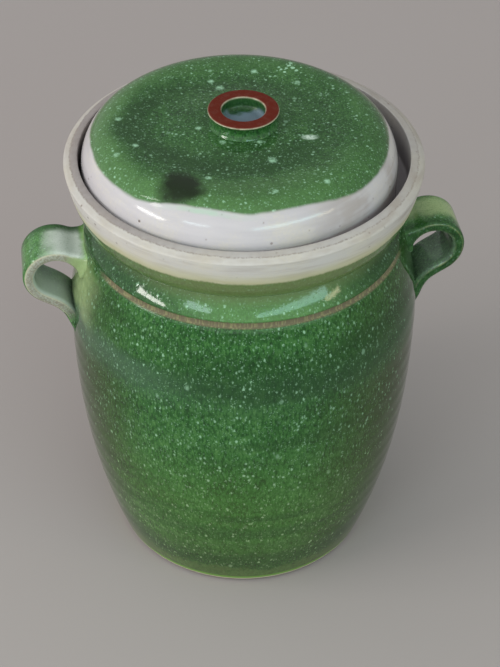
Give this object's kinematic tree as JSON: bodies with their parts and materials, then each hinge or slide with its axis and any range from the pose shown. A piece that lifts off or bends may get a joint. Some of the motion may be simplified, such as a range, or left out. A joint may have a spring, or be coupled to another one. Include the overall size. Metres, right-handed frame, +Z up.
{
  "type": "fermentation crock",
  "caption": "Lidded water-seal fermentation crock in speckled green glaze, with a pale water gutter round the neck, strap handles, a low lid with a ring knob, and half-round weighting stones.",
  "frame": {"origin": "centre of the flat base, on the surface the crock stands on", "axes": "+Z up along the pot's axis; the two handles lie along -X and +X; -Y is the side that faces the viewer"},
  "size_m": [0.2498, 0.1984, 0.2877],
  "materials": {
    "green_glaze": "glossy speckled green glaze",
    "white_glaze": "satin grey-white glaze with pinholes",
    "handle_glaze": "glossy green glaze, thin and pale along the edges",
    "lid_glaze": "glossy speckled green glaze over a white skirt",
    "knob_clay": "bare red-brown clay top with glazed sides",
    "stone_clay": "unglazed fired clay"
  },
  "bodies": {
    "crock": {"crock_body": "green_glaze", "water_gutter": "white_glaze", "left_handle": "handle_glaze", "right_handle": "handle_glaze"},
    "lid": {"lid_dome": "lid_glaze", "lid_knob": "knob_clay"},
    "left_stone": {"left_weight_stone": "stone_clay"},
    "right_stone": {"right_weight_stone": "stone_clay"}
  },
  "joints": [
    {"name": "lid_lift", "type": "slide", "parent": "crock", "child": "lid", "axis": [0, 0, 1], "range_m": [0, 0.3]},
    {"name": "left_stone_lift", "type": "slide", "parent": "crock", "child": "left_stone", "axis": [0, 0, 1], "range_m": [0, 0.235]},
    {"name": "right_stone_lift", "type": "slide", "parent": "crock", "child": "right_stone", "axis": [0, 0, 1], "range_m": [0, 0.235]}
  ]
}
